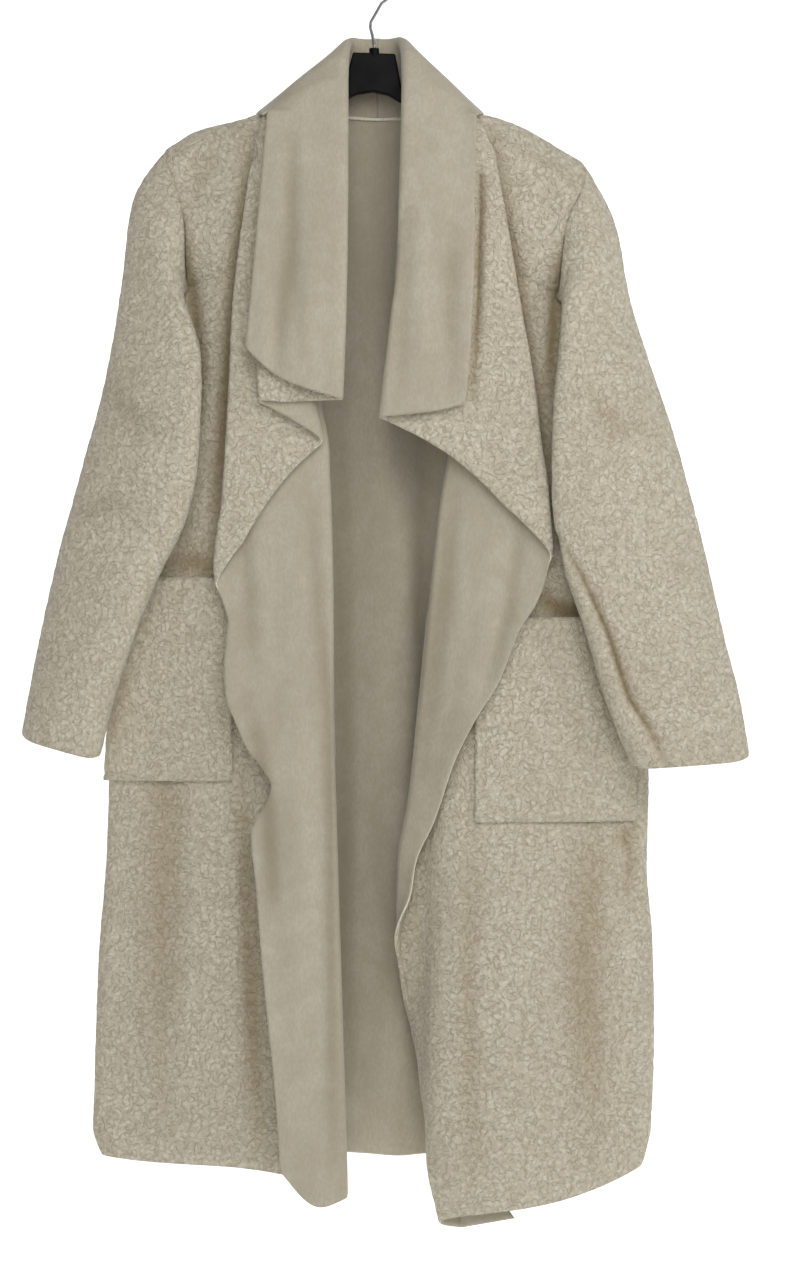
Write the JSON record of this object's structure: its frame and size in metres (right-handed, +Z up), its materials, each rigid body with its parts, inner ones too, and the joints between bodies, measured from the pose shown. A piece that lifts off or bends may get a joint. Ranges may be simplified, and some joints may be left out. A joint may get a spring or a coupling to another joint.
{
  "type": "wrap coat on hanger",
  "caption": "Long open-front waterfall coat of double-faced cloth with a grown-on collar, set-in sleeves and patch pockets, hung on a plastic hanger.",
  "frame": {"origin": "inside top of the hanger's hook, where a rail carries it", "axes": "+Z up; +Y to the back of the coat; +X to the wearer's left"},
  "size_m": [0.73, 0.1303, 1.2865],
  "materials": {
    "boucle_cream": "boucle outside, brushed smooth inside",
    "hanger_black": "satin moulded",
    "hook_steel": "bright"
  },
  "bodies": {
    "root": {"back": "boucle_cream", "front_right": "boucle_cream", "front_left": "boucle_cream", "sleeve_right": "boucle_cream", "sleeve_left": "boucle_cream", "pocket_right": "boucle_cream", "pocket_left": "boucle_cream", "hanger_body": "hanger_black", "hanger_hook": "hook_steel"}
  },
  "joints": []
}
